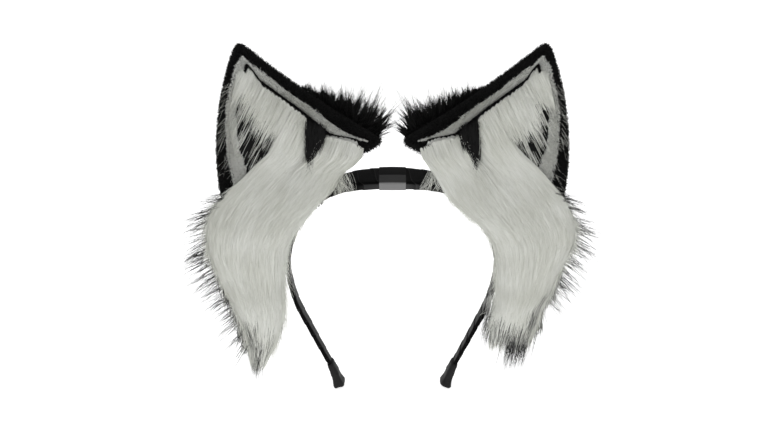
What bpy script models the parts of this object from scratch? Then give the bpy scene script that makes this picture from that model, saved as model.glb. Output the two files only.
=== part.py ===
"""Animal ears headband: a ribbon-wrapped hoop, two wired faux-fur ears and two hanging fur locks.

Metres, +Z up. The origin is the middle of the crown's underside, where the band sits on a head. The
ears face -Y, "left" is -X as seen from that side, and every piece at the left is the mirror image of
the one at the right. The hoop lies in the plane Y = 0.
"""

import math

import bmesh
import bpy
from mathutils import Vector

MM = 0.001
GAP = 0.3 * MM  # clearance between pieces that touch

# Hoop: a flat strip bent to a horseshoe. These are points of its right half, on the strip's middle.
HOOP_POINTS_MM = [
    (0, 2.6),
    (34, -1.8),
    (57.5, -21),
    (68.3, -55),
    (65, -84),
    (54, -111),
    (41.8, -138),
    (36.6, -152.5),
]
HOOP_THICK = 2.0 * MM
HOOP_WIDTH_CROWN = 21.0 * MM
HOOP_WIDTH_TIP = 6.0 * MM
WRAP_WALL = 0.5 * MM
LEG_SPLIT = 75 * MM  # from the crown's middle to each leg's bending point, along the strip
LEG_CLEARANCE = 0.4 * MM  # from that point to the cut faces on either side
CENTRE_WRAP_LENGTH = 17 * MM
TIP_SLEEVE_LENGTH = 12 * MM
TIP_SLEEVE_WALL = 0.9 * MM

# What holds an ear to the hoop.
PAD_MIDDLE = 52 * MM  # along the strip
PAD_LENGTH = 17 * MM
PAD_WIDTH = 15 * MM
PAD_THICK = 3.2 * MM
STRAP_LENGTH = 8 * MM
STRAP_WALL = 0.7 * MM

# Ear: a triangle cupped about its own long axis. Its corners are (across, up) in its own plane, from
# the point where that axis meets the base, and across is positive towards the outside.
EAR_CORNERS_MM = {"outer": (53.4, 6.2), "tip": (0, 97), "inner": (-60, 1.5)}
EAR_OUTER_BULGE = 7.5 * MM
EAR_INNER_BULGE = -3.2 * MM  # this side is slightly hollow
EAR_BASE_BULGE = 12 * MM
EAR_TIP_BLUNTING = 0.45
EAR_BASE_POINT = Vector((58.6 * MM, 1.6 * MM, 4 * MM))
EAR_ROLL = math.radians(24)  # outward, in the ear's plane
EAR_LEAN = math.radians(10)  # backward
EAR_CUP_RADIUS = 170 * MM
EAR_CENTRE = Vector((-3 * MM, 30 * MM))  # nested outlines shrink towards this point
EAR_INRADIUS = 34 * MM
OUTLINE_STEPS = 11  # along each of the three sides

# Black tuft behind the ear's inner edge: (across, up, radius) of its sections, in the ear's plane.
TUFT_SECTIONS_MM = [
    (-28, 45, 2.5),
    (-36, 36, 6),
    (-43.5, 28, 8),
    (-51.5, 19, 8.5),
    (-57.5, 11.2, 7),
    (-60, 6, 3),
]
TUFT_CLEARANCE = 10.5 * MM  # of its front behind the ear's middle surface

# Hanging lock: half-widths of its outline, from the top down.
LOCK_MIDDLES_MM = [(90, -24), (93, -45), (92, -68), (90, -92), (90.5, -114), (91, -130)]
LOCK_HALF_WIDTHS_MM = [24, 27, 24.5, 19, 11, 3]
LOCK_PLANE_Y = -15 * MM
LOCK_BACKING_THICK = 1.0 * MM
LOCK_FRONT_DEPTH = 11 * MM
LOCK_REAR_DEPTH = 5 * MM
LOCK_SECTION_STEPS = 8

# Linear colour, roughness, metallic.
FINISHES = {
    "steel": ((0.45, 0.45, 0.46), 0.35, 1.0),
    "hoop_plastic": ((0.03, 0.03, 0.03), 0.45, 0.0),
    "satin_ribbon": ((0.014, 0.014, 0.015), 0.35, 0.0),
    "glossy_tape": ((0.02, 0.02, 0.021), 0.2, 0.0),
    "rubber": ((0.02, 0.02, 0.02), 0.6, 0.0),
    "felt": ((0.025, 0.025, 0.025), 0.95, 0.0),
    "foam": ((0.55, 0.55, 0.53), 0.9, 0.0),
    "knit_backing": ((0.5, 0.5, 0.48), 0.95, 0.0),
    "white_fur": ((0.55, 0.56, 0.52), 0.85, 0.0),
    "black_fur": ((0.012, 0.012, 0.012), 0.8, 0.0),
}


# ---------------------------------------------------------------- scene and mesh helpers


def clear_scene():
    for obj in list(bpy.data.objects):
        bpy.data.objects.remove(obj, do_unlink=True)


def make_material(name):
    colour, roughness, metallic = FINISHES[name]
    material = bpy.data.materials.new(name)
    material.use_nodes = True
    shader = material.node_tree.nodes["Principled BSDF"]
    shader.inputs["Base Color"].default_value = (*colour, 1.0)
    shader.inputs["Roughness"].default_value = roughness
    shader.inputs["Metallic"].default_value = metallic
    return material


def make_pivot(name, location):
    """An empty on a joint's axis, which the pieces that move there are parented to."""
    empty = bpy.data.objects.new(name, None)
    empty.location = location
    PARTS.objects.link(empty)
    return empty


def make_object(name, data, finish, pivot):
    """Links a piece whose points are in world coordinates, with its origin on its pivot."""
    obj = bpy.data.objects.new(name, data)
    obj.data.materials.append(MATERIALS[finish])
    PARTS.objects.link(obj)
    obj.parent = pivot
    for item in data.vertices if isinstance(data, bpy.types.Mesh) else data.splines[0].points:
        item.co.xyz -= pivot.location
    return obj


def grid_mesh(name, rows, close_columns=False, close_rows=False, cap_ends=False):
    """A mesh of quads over rows of points, with each row closed to a loop, or the rows, if asked."""
    made = bmesh.new()
    verts = [[made.verts.new(point) for point in row] for row in rows]
    across = len(rows[0])
    for i in range(len(rows) if close_rows else len(rows) - 1):
        for j in range(across if close_columns else across - 1):
            this, after = verts[i], verts[(i + 1) % len(rows)]
            made.faces.new((this[j], this[(j + 1) % across], after[(j + 1) % across], after[j]))
    if cap_ends:
        made.faces.new(list(reversed(verts[0])))
        made.faces.new(verts[-1])
    bmesh.ops.recalc_face_normals(made, faces=made.faces)
    mesh = bpy.data.meshes.new(name)
    made.to_mesh(mesh)
    made.free()
    mesh.shade_smooth()
    mesh.set_sharp_from_angle(angle=math.radians(35))
    return mesh


def thicken(obj, thickness):
    """Makes an open surface a shell, half its thickness to each side."""
    modifier = obj.modifiers.new("Shell", "SOLIDIFY")
    modifier.thickness = thickness
    modifier.offset = 0.0
    modifier.use_even_offset = True


# ---------------------------------------------------------------- hoop


def smooth_curve(points, steps):
    """Catmull-Rom curve through 2D points. The first point is on the mirror plane."""
    first = Vector((-points[1].x, points[1].y))
    last = points[-1] * 2 - points[-2]
    ends = [first, *points, last]
    made = []
    for a, b, c, d in zip(ends, ends[1:], ends[2:], ends[3:]):
        for step in range(steps):
            t = step / steps
            square = 2 * a - 5 * b + 4 * c - d
            cube = 3 * b - a - 3 * c + d
            made.append(0.5 * (2 * b + (c - a) * t + square * t**2 + cube * t**3))
    return [*made, points[-1]]


HOOP_CURVE = smooth_curve([Vector(point) * MM for point in HOOP_POINTS_MM], 40)
HOOP_ARC = [0.0]
for here, there in zip(HOOP_CURVE, HOOP_CURVE[1:]):
    HOOP_ARC.append(HOOP_ARC[-1] + (there - here).length)
HALF_LENGTH = HOOP_ARC[-1]


def hoop_at(along):
    """Middle point, tangent and outward normal at a distance along the strip, negative at the left."""
    side = -1 if along < 0 else 1
    distance = min(abs(along), HALF_LENGTH)
    i = max(k for k, arc in enumerate(HOOP_ARC[:-1]) if arc <= distance)
    step = HOOP_CURVE[i + 1] - HOOP_CURVE[i]
    point = HOOP_CURVE[i] + step * ((distance - HOOP_ARC[i]) / step.length)
    if 0 < i < len(HOOP_CURVE) - 2:
        step = HOOP_CURVE[i + 2] - HOOP_CURVE[i - 1]
    elif i == 0:
        step = Vector((1, 0))
    step = step.normalized()
    return (
        Vector((side * point.x, 0, point.y)),
        Vector((side * step.x, 0, step.y)),
        Vector((side * -step.y, 0, step.x)),
    )


def hoop_width(along):
    return HOOP_WIDTH_CROWN + (HOOP_WIDTH_TIP - HOOP_WIDTH_CROWN) * abs(along) / HALF_LENGTH


def section(along, width, thickness, offset=0.0):
    """The four corners of a rectangle across the strip."""
    middle, _, normal = hoop_at(along)
    middle = middle + normal * offset
    half = Vector((0, width / 2, 0))
    rise = normal * thickness / 2
    return [middle - half - rise, middle + half - rise, middle + half + rise, middle - half + rise]


def stations(start, end, count):
    return [start + (end - start) * k / count for k in range(count + 1)]


def strip(name, finish, pivot, spots, width=None, thickness=HOOP_THICK, offset=0.0):
    """A solid bar along the hoop, as wide as the hoop's strip unless a width is given."""
    rows = [section(s, width or hoop_width(s), thickness, offset) for s in spots]
    return make_object(name, grid_mesh(name, rows, close_columns=True, cap_ends=True), finish, pivot)


def sleeve(name, finish, pivot, spots, clearance, wall, pad=0.0):
    """A tube round the strip, clearance from it, which also goes round a pad on its outer face."""
    grow = 2 * clearance + wall
    rows = [section(s, hoop_width(s) + grow, HOOP_THICK + pad + grow, pad / 2) for s in spots]
    obj = make_object(name, grid_mesh(name, rows, close_columns=True), finish, pivot)
    thicken(obj, wall)
    return obj


def make_hoop(root, legs):
    end = LEG_SPLIT - LEG_CLEARANCE
    crown_spots = stations(-end, end, 31)
    wrap_out = GAP + WRAP_WALL
    strip("hoop_crown", "hoop_plastic", root, crown_spots)
    sleeve("ribbon_wrap_crown", "satin_ribbon", root, crown_spots, GAP, WRAP_WALL)
    centre_spots = stations(-CENTRE_WRAP_LENGTH / 2, CENTRE_WRAP_LENGTH / 2, 3)
    sleeve("centre_wrap", "glossy_tape", root, centre_spots, wrap_out + GAP, WRAP_WALL)
    for side, sign in SIDES:
        start = sign * (LEG_SPLIT + LEG_CLEARANCE)
        finish_at = sign * HALF_LENGTH
        wrap_end = finish_at - sign * 2 * MM
        strip(f"hoop_leg_{side}", "hoop_plastic", legs[side], stations(start, finish_at, 18))
        wrap_spots = stations(start, wrap_end, 18)
        sleeve(f"ribbon_wrap_leg_{side}", "satin_ribbon", legs[side], wrap_spots, GAP, WRAP_WALL)
        make_tip_sleeve(side, sign, legs[side])


def make_tip_sleeve(side, sign, pivot):
    """A rubber cup over the leg's end: a tube with one closed end."""
    name = f"tip_sleeve_{side}"
    clearance = GAP + WRAP_WALL + GAP
    grow = 2 * clearance + TIP_SLEEVE_WALL
    spots = stations(sign * (HALF_LENGTH - TIP_SLEEVE_LENGTH), sign * HALF_LENGTH, 4)
    rows = [section(s, hoop_width(s) + grow, HOOP_THICK + grow) for s in spots]
    _, tangent, _ = hoop_at(spots[-1])
    rows.append([corner + tangent * (GAP + TIP_SLEEVE_WALL / 2) for corner in rows[-1]])
    mesh = grid_mesh(name, rows, close_columns=True)
    closed = bmesh.new()
    closed.from_mesh(mesh)
    closed.verts.ensure_lookup_table()
    closed.faces.new(closed.verts[-4:])
    bmesh.ops.recalc_face_normals(closed, faces=closed.faces)
    closed.to_mesh(mesh)
    closed.free()
    thicken(make_object(name, mesh, "rubber", pivot), TIP_SLEEVE_WALL)


def make_ear_mount(side, sign, root):
    """The felt pad that the ear stands on, and the ribbon strap that ties it to the hoop."""
    wrap_out = GAP + WRAP_WALL
    pad_offset = HOOP_THICK / 2 + wrap_out + GAP + PAD_THICK / 2
    pad_spots = stations(sign * (PAD_MIDDLE - PAD_LENGTH / 2), sign * (PAD_MIDDLE + PAD_LENGTH / 2), 5)
    strip(f"ear_base_pad_{side}", "felt", root, pad_spots, PAD_WIDTH, PAD_THICK, pad_offset)
    strap_spots = stations(sign * (PAD_MIDDLE - STRAP_LENGTH / 2), sign * (PAD_MIDDLE + STRAP_LENGTH / 2), 3)
    pad_height = PAD_THICK + GAP
    sleeve(f"ear_strap_{side}", "satin_ribbon", root, strap_spots, wrap_out + GAP, STRAP_WALL, pad_height)


# ---------------------------------------------------------------- ears


def ear_outline():
    """The ear's outline in its own plane, from the outer corner over the tip to the inner one and back."""
    corners = [Vector(corner) * MM for corner in EAR_CORNERS_MM.values()]
    bulges = [EAR_OUTER_BULGE, EAR_INNER_BULGE, EAR_BASE_BULGE]
    made = []
    for k, bulge in enumerate(bulges):
        start, end = corners[k], corners[(k + 1) % 3]
        outward = Vector((end.y - start.y, start.x - end.x)).normalized()
        for step in range(OUTLINE_STEPS):
            t = step / OUTLINE_STEPS
            made.append(start.lerp(end, t) + outward * bulge * 4 * t * (1 - t))
    tip = OUTLINE_STEPS
    chord = (made[tip - 1] + made[tip + 1]) / 2
    made[tip] = made[tip].lerp(chord, EAR_TIP_BLUNTING)
    return made


OUTLINE = ear_outline()


def ear_point(sign, flat, out):
    """World place of a point of the ear's plane, out in front of its cupped middle surface."""
    across, up = flat
    rise = across * across / (2 * EAR_CUP_RADIUS)
    back, tall = math.sin(EAR_LEAN), math.cos(EAR_LEAN)
    x = across * math.cos(EAR_ROLL) + up * math.sin(EAR_ROLL)
    height = up * math.cos(EAR_ROLL) - across * math.sin(EAR_ROLL)
    forward = Vector((0, -tall, back)) * (rise + out)
    point = EAR_BASE_POINT + Vector((x, height * back, height * tall)) + forward
    return Vector((sign * point.x, point.y, point.z))


def inset_outline(inset):
    """The outline moved inward by about this much."""
    share = 1 - inset / EAR_INRADIUS
    return [EAR_CENTRE + (point - EAR_CENTRE) * share for point in OUTLINE]


def ear_trim(name, finish, pivot, sign, insets, out, thickness, span):
    """A flat trim that follows part of the outline, between two insets."""
    rows = [[ear_point(sign, point, out) for point in inset_outline(inset)[span]] for inset in insets]
    thicken(make_object(name, grid_mesh(name, rows), finish, pivot), thickness)


def ear_plate(name, finish, pivot, sign, inset, out, thickness):
    """A cupped plate that fills the outline inside an inset."""
    share = 1 - inset / EAR_INRADIUS
    rings = []
    for part in (1.0, 0.66, 0.33):
        flat = [EAR_CENTRE + (point - EAR_CENTRE) * share * part for point in OUTLINE]
        rings.append([ear_point(sign, point, out) for point in flat])
    mesh = grid_mesh(name, rings, close_columns=True)
    filled = bmesh.new()
    filled.from_mesh(mesh)
    filled.verts.ensure_lookup_table()
    middle = filled.verts.new(ear_point(sign, EAR_CENTRE, out))
    filled.verts.ensure_lookup_table()
    first = 2 * len(OUTLINE)
    for k in range(len(OUTLINE)):
        filled.faces.new((filled.verts[first + k], filled.verts[first + (k + 1) % len(OUTLINE)], middle))
    bmesh.ops.recalc_face_normals(filled, faces=filled.faces)
    filled.to_mesh(mesh)
    filled.free()
    thicken(make_object(name, mesh, finish, pivot), thickness)


def ear_binding(name, finish, pivot, sign):
    """The black edging: a channel folded over the ear's edge, open towards its middle."""
    lip, web = 6.2 * MM, 0.8 * MM
    half = 2.6 * MM
    profile = [(lip, half), (web, half), (web, -half), (lip, -half)]
    rows = [[ear_point(sign, point, out) for point in inset_outline(inset)] for inset, out in profile]
    obj = make_object(name, grid_mesh(name, rows, close_columns=True), finish, pivot)
    thicken(obj, 1.4 * MM)


def ear_wire(name, finish, pivot, sign):
    """The bendable wire that keeps the ear's shape, inside the edging."""
    curve = bpy.data.curves.new(name, "CURVE")
    curve.dimensions = "3D"
    curve.bevel_depth = 0.8 * MM
    curve.bevel_resolution = 1
    loop = curve.splines.new("POLY")
    points = [ear_point(sign, point, 0.0) for point in inset_outline(3.6 * MM)]
    loop.points.add(len(points) - 1)
    for spot, point in zip(loop.points, points):
        spot.co = (*point, 1.0)
    loop.use_cyclic_u = True
    make_object(name, curve, finish, pivot)


def ear_tuft(name, finish, pivot, sign):
    """The long black pile behind the ear's inner edge, thicker towards the middle of the head."""
    rows = []
    for across, up, radius in TUFT_SECTIONS_MM:
        ring = []
        for k in range(10):
            angle = 2 * math.pi * k / 10
            flat = Vector((across - 0.35 * radius * math.cos(angle), up + radius * math.cos(angle))) * MM
            behind = TUFT_CLEARANCE + 0.75 * radius * MM * (1 - math.sin(angle))
            ring.append(ear_point(sign, flat, -behind))
        rows.append(ring)
    make_object(name, grid_mesh(name, rows, close_columns=True, cap_ends=True), finish, pivot)


def make_ear(side, sign, pivot):
    """Layers from the back to the front, each clear of the next."""
    corner_to_corner = slice(0, 2 * OUTLINE_STEPS + 1)
    inner_side = slice(OUTLINE_STEPS - 2, 2 * OUTLINE_STEPS)
    band, seam = (6.8 * MM, 11.4 * MM), (11.8 * MM, 13.1 * MM)
    ear_plate(f"ear_back_fur_{side}", "black_fur", pivot, sign, 1.0 * MM, -6.9 * MM, 6.0 * MM)
    ear_binding(f"ear_edge_binding_{side}", "black_fur", pivot, sign)
    ear_wire(f"ear_frame_wire_{side}", "steel", pivot, sign)
    ear_plate(f"ear_foam_core_{side}", "foam", pivot, sign, 5.6 * MM, 0.0, 2.6 * MM)
    band_name = f"ear_short_pile_band_{side}"
    ear_trim(band_name, "white_fur", pivot, sign, band, 2.9 * MM, 2.4 * MM, corner_to_corner)
    ear_trim(f"ear_dark_seam_{side}", "black_fur", pivot, sign, seam, 2.7 * MM, 2.0 * MM, inner_side)
    ear_plate(f"ear_inner_fur_{side}", "white_fur", pivot, sign, 13.9 * MM, 5.3 * MM, 7.2 * MM)
    ear_tuft(f"ear_back_tuft_{side}", "black_fur", pivot, sign)


# ---------------------------------------------------------------- locks


def lock_rows(sign, depth, start_y, shrink=0.0, last=None):
    """Cross-sections of a lock: half ellipses that stand out from a flat face."""
    rows = []
    for (across, height), half_width in list(zip(LOCK_MIDDLES_MM, LOCK_HALF_WIDTHS_MM))[:last]:
        half = half_width * MM - shrink
        fullness = depth * min(1.0, 0.35 + half_width / 40)
        row = []
        for k in range(LOCK_SECTION_STEPS + 1):
            angle = math.pi * k / LOCK_SECTION_STEPS
            x = across * MM + half * math.cos(angle)
            row.append(Vector((sign * x, start_y + fullness * math.sin(angle), height * MM)))
        rows.append(row)
    return rows


def make_lock(side, sign, pivot):
    half_backing = LOCK_BACKING_THICK / 2
    front_face = LOCK_PLANE_Y - half_backing - GAP
    rear_face = LOCK_PLANE_Y + half_backing + GAP
    front = lock_rows(sign, -LOCK_FRONT_DEPTH, front_face)
    rear = lock_rows(sign, LOCK_REAR_DEPTH, rear_face, 2 * MM)
    rear[0] = [point - Vector((0, 0, 8 * MM)) for point in rear[0]]  # below the anchor
    for name, rows, finish in (("lock_front_fur", front, "white_fur"), ("lock_rear_fur", rear, "black_fur")):
        mesh = grid_mesh(f"{name}_{side}", rows, close_columns=True, cap_ends=True)
        make_object(f"{name}_{side}", mesh, finish, pivot)
    sheet = []
    for row in lock_rows(sign, 0.0, LOCK_PLANE_Y, 5 * MM, -1):
        ends = row[0], row[-1]
        sheet.append([ends[0].lerp(ends[1], t) for t in (0.0, 0.25, 0.5, 0.75, 1.0)])
    name = f"lock_backing_{side}"
    thicken(make_object(name, grid_mesh(name, sheet), "knit_backing", pivot), LOCK_BACKING_THICK)


def make_lock_anchor(side, sign, root):
    """The felt block, sewn to the hoop's front edge, that the lock's backing hangs from."""
    name = f"lock_anchor_{side}"
    back, front = -9.2 * MM, LOCK_PLANE_Y + LOCK_BACKING_THICK / 2 + 2 * GAP
    inner, outer = 60 * MM, 104 * MM
    top, bottom = -22 * MM, -30 * MM
    profile = ((back, bottom), (front, bottom), (front, top), (back, top))
    rows = [[Vector((sign * x, y, z)) for y, z in profile] for x in (inner, outer)]
    make_object(name, grid_mesh(name, rows, close_columns=True, cap_ends=True), "felt", root)


# ---------------------------------------------------------------- assembly


def main():
    root = make_pivot("crown_origin", Vector((0, 0, 0)))
    legs = {}
    for side, sign in SIDES:
        legs[side] = make_pivot(f"leg_flex_axis_{side}", hoop_at(sign * LEG_SPLIT)[0])
    make_hoop(root, legs)
    for side, sign in SIDES:
        make_ear_mount(side, sign, root)
        middle, _, normal = hoop_at(sign * PAD_MIDDLE)
        seam = middle + normal * (HOOP_THICK / 2 + PAD_THICK + 3.2 * MM)
        make_ear(side, sign, make_pivot(f"ear_tilt_axis_{side}", seam))
        make_lock_anchor(side, sign, root)
        lock_top = Vector((sign * LOCK_MIDDLES_MM[0][0] * MM, LOCK_PLANE_Y, -23 * MM))
        make_lock(side, sign, make_pivot(f"lock_swing_axis_{side}", lock_top))


clear_scene()
SIDES = (("left", -1), ("right", 1))
PARTS = bpy.data.collections.new("animal_ears_headband")
bpy.context.scene.collection.children.link(PARTS)
MATERIALS = {name: make_material(name) for name in FINISHES}
main()
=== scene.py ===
"""Looks of the animal ears headband: faux fur, plush edging, satin ribbon and rubber sleeves.

Numbers for shapes are in millimetres, and each mesh is made in metres. x is the distance outward
from the middle plane, so one description serves both sides, and the left side is mirrored.
"""

import math

import bpy
import numpy as np
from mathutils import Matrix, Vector


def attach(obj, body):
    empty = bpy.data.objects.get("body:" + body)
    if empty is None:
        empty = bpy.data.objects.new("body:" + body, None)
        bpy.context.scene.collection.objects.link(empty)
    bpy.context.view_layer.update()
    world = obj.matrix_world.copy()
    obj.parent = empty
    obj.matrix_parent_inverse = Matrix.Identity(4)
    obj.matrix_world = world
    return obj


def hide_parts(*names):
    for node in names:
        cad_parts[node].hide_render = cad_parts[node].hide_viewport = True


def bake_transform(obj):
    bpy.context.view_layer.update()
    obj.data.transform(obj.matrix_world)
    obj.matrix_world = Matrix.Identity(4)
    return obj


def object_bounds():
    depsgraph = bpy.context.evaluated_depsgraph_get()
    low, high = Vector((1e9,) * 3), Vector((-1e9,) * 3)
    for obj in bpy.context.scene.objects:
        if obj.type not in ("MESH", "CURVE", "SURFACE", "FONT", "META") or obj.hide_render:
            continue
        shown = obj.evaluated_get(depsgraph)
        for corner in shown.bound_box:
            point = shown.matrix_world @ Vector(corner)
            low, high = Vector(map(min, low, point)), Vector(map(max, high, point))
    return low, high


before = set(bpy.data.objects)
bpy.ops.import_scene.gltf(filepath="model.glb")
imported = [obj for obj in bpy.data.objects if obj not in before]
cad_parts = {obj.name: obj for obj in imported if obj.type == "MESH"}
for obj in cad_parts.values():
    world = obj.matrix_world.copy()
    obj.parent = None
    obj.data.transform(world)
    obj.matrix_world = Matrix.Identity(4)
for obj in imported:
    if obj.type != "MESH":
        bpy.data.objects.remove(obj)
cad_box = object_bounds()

MM = 0.001
FUR_LOW, FUR_HIGH = -133, 45  # the hanging fur's lowest and highest level
SIGN = {"left": -1.0, "right": 1.0}

# The ear's plane and outline: corners and side bulges in its plane, and how the plane stands.
EAR_CORNERS = np.array([(53.4, 6.2), (0.0, 97.0), (-60.0, 1.5)])
EAR_BULGES = (7.5, -3.2, 7.0)
EAR_BASE = np.array((58.6, 1.6, 4.0))
EAR_ROLL = math.radians(24)
EAR_LEAN = math.radians(10)
EAR_CUP_RADIUS = 170.0
EAR_CENTRE = np.array((-3.0, 30.0))

# The hoop's middle line (x, z), and its strip.
HOOP_POINTS = [
    (0, 2.6), (34, -1.8), (57.5, -21), (68.3, -55), (65, -84), (54, -111), (41.8, -138), (36.6, -152.5),
]
HOOP_WIDTHS = (21.0, 6.0)
HOOP_THICK = 2.0
LEG_SPLIT = 75.0  # along the strip, from the crown's middle to each leg's bending point
BEND_REACH = 7.0  # of the ribbon's bend to either side of that point

# Edges of the hanging fur, from the ear's inside down: rows of (z, x).
FUR_OUTER = {
    "left": [
        (45, 66), (33, 71.5), (20, 79.6), (14, 87), (7, 94.5), (1, 103), (-7, 112), (-17, 118),
        (-27, 120.5), (-42, 120), (-58, 114.5), (-77, 107), (-97, 100), (-115, 95.5), (-134, 95),
    ],
    "right": [
        (45, 66), (33, 73), (20, 84), (10, 95.5), (1.5, 104), (-7, 111.5), (-21, 117.5), (-34, 118.5),
        (-47, 113.5), (-60, 108), (-72, 104), (-82, 98.5), (-98, 95.5), (-123, 91), (-134, 89),
    ],
}
FUR_INNER = {
    "left": [
        (45, 24), (28, 18), (20, 19), (14, 25), (10, 31.5), (-1, 39.5), (-7, 45.5), (-14, 52),
        (-25, 60), (-36, 66.5), (-51, 69.2), (-64, 70.2), (-82, 70.8), (-93, 71.5), (-112, 77),
        (-126, 83), (-134, 86),
    ],
    "right": [
        (45, 24), (28, 17), (20, 18.5), (6, 28.3), (-5, 35.8), (-14, 45.5), (-22, 55), (-33, 63),
        (-45, 67), (-64, 68.3), (-79, 68.3), (-93, 66), (-108, 63.5), (-134, 62),
    ],
}


# ---------------------------------------------------------------- small numeric helpers


def smooth(low, high, x):
    t = np.clip((x - low) / (high - low), 0, 1)
    return t * t * (3 - 2 * t)


def unit(v):
    return v / np.maximum(np.linalg.norm(v, axis=-1, keepdims=True), 1e-12)


def inside(points, polygon):
    """True for each 2D point inside a closed polygon."""
    x, y = points[:, 0], points[:, 1]
    found = np.zeros(len(points), bool)
    for (x0, y0), (x1, y1) in zip(polygon, np.roll(polygon, -1, axis=0)):
        if y0 == y1:
            continue
        crossing = ((y0 > y) != (y1 > y)) & (x < (x1 - x0) * (y - y0) / (y1 - y0) + x0)
        found ^= crossing
    return found


def wobble(points, scale, seed):
    """Smooth noise of about -1 to 1 at 2D or 3D points in millimetres, with features of that scale."""
    rng = np.random.default_rng(seed)
    total = np.zeros(points.shape[:-1])
    for _ in range(6):
        wave = rng.normal(size=points.shape[-1]) * 2.2 / scale
        total += np.sin(points @ wave + rng.uniform(0, 2 * math.pi))
    return total / 2.6


# ---------------------------------------------------------------- the ear's surface


def bulging_outline(steps):
    """The ear's outline (across, up), with its corners rounded. Index 0 is the outer corner."""
    sides = []
    for k, bulge in enumerate(EAR_BULGES):
        start, end = EAR_CORNERS[k], EAR_CORNERS[(k + 1) % 3]
        out = np.array((end[1] - start[1], start[0] - end[0]))
        t = np.linspace(0, 1, steps, endpoint=False)[:, None]
        sides.append(start + (end - start) * t + unit(out) * bulge * 4 * t * (1 - t))
    line = np.vstack(sides)
    for _ in range(22):
        line = (np.roll(line, 1, axis=0) + 2 * line + np.roll(line, -1, axis=0)) / 4
    return line


STEPS = 80  # outline samples along each side of the ear
OUTLINE = bulging_outline(STEPS)
TANGENT = unit(np.roll(OUTLINE, -1, axis=0) - np.roll(OUTLINE, 1, axis=0))
INWARD = np.stack((TANGENT[:, 1], -TANGENT[:, 0]), axis=1)
INWARD *= np.sign(((EAR_CENTRE - OUTLINE) * INWARD).sum(1))[:, None]
REACH = ((EAR_CENTRE - OUTLINE) * INWARD).sum(1)  # from the centre square to the outline


def on_outline(turn, inset):
    """(across, up) at a place on the outline, 0 to 3 with a corner at each whole number, moved inward."""
    place = (np.asarray(turn, float) % 3) * STEPS
    low = np.floor(place).astype(int) % len(OUTLINE)
    part = (place - np.floor(place))[..., None]
    high = (low + 1) % len(OUTLINE)
    point = OUTLINE[low] * (1 - part) + OUTLINE[high] * part
    reach = REACH[low] * (1 - part[..., 0]) + REACH[high] * part[..., 0]
    return point + (EAR_CENTRE - point) * np.clip(np.asarray(inset, float) / reach, 0, 1)[..., None]


def ear_place(flat, out):
    """Place in millimetres of the ear's plane point, out in front of its cupped middle surface."""
    across, up = flat[..., 0], flat[..., 1]
    rise = across**2 / (2 * EAR_CUP_RADIUS) + out
    height = up * math.cos(EAR_ROLL) - across * math.sin(EAR_ROLL)
    x = EAR_BASE[0] + across * math.cos(EAR_ROLL) + up * math.sin(EAR_ROLL)
    y = EAR_BASE[1] + height * math.sin(EAR_LEAN) - rise * math.cos(EAR_LEAN)
    z = EAR_BASE[2] + height * math.cos(EAR_LEAN) + rise * math.sin(EAR_LEAN)
    return np.stack((x, y, z), axis=-1)


def ear_flat(x, z):
    """The (across, up) that shows at (x, z) from the front."""
    height = (z - EAR_BASE[2]) / math.cos(EAR_LEAN)
    off = x - EAR_BASE[0]
    across = off * math.cos(EAR_ROLL) - height * math.sin(EAR_ROLL)
    up = off * math.sin(EAR_ROLL) + height * math.cos(EAR_ROLL)
    return np.stack((across, up), axis=-1)


def front_out(inset):
    """How far the plush ear's front stands out at an inset: a plump edge and a shallow dish."""
    d = np.clip(inset, 0, 60)
    return -1.8 + 4.6 * np.sqrt(1 - (1 - np.clip(d / 4.5, 0, 1)) ** 2) - 1.2 * smooth(5, 11, d)


def back_out(inset):
    d = np.clip(inset, 0, 60)
    return -1.8 - 4.4 * np.sqrt(1 - (1 - np.clip(d / 9, 0, 1)) ** 2) - 1.6 * smooth(8, 30, d)


def along(table, turn):
    """Value at a place on the outline, from rows of (turn, value)."""
    rows = np.array(table)
    return np.interp(np.asarray(turn, float), rows[:, 0], rows[:, 1])


# Insets, in millimetres, of the edging's, the pale band's and the dark seam's inner borders.
EDGING = [
    (0, 11.5), (0.12, 9.8), (0.3, 7.4), (0.6, 5.6), (0.9, 5.2), (1, 8), (1.1, 5.6), (1.5, 6.6),
    (1.8, 8), (2, 8.4), (3, 9),
]
BAND = [
    (0, 21), (0.12, 18), (0.3, 13.6), (0.6, 11), (0.9, 10.4), (1, 13.4), (1.1, 10.2), (1.5, 11.4),
    (1.8, 13.4), (2, 14.5), (3, 16),
]


# ---------------------------------------------------------------- the hanging fur's surface


def edge(table, z):
    rows = np.array(table[::-1])
    return np.interp(z, rows[:, 0], rows[:, 1])


def fur_edges(side, z):
    return edge(FUR_INNER[side], z), edge(FUR_OUTER[side], z)


def fur_place(side, x, z, lift):
    """Place in millimetres on the front of the hanging fur, lift in front of its skin."""
    inner, outer = fur_edges(side, np.clip(z, FUR_LOW, FUR_HIGH))
    middle, half = (inner + outer) / 2, np.maximum((outer - inner) / 2, 1)
    q = np.clip((x - middle) / half, -1, 1)
    depth = (3.5 * smooth(44, 22, z) + 8.5 * smooth(16, -34, z)) * (1 - 0.75 * smooth(-70, -133, z))
    dome = depth * np.sqrt(np.maximum(1 - q * q, 0))
    on_lock = -13.0 - lift
    on_ear = ear_place(ear_flat(x, z), 3.0 + lift)[..., 1]
    weight = smooth(14, -14, z)
    return np.stack((x, on_ear * (1 - weight) + on_lock * weight - dome, z), axis=-1)


EAR_FUR_SLOPE = 0.54


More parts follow.
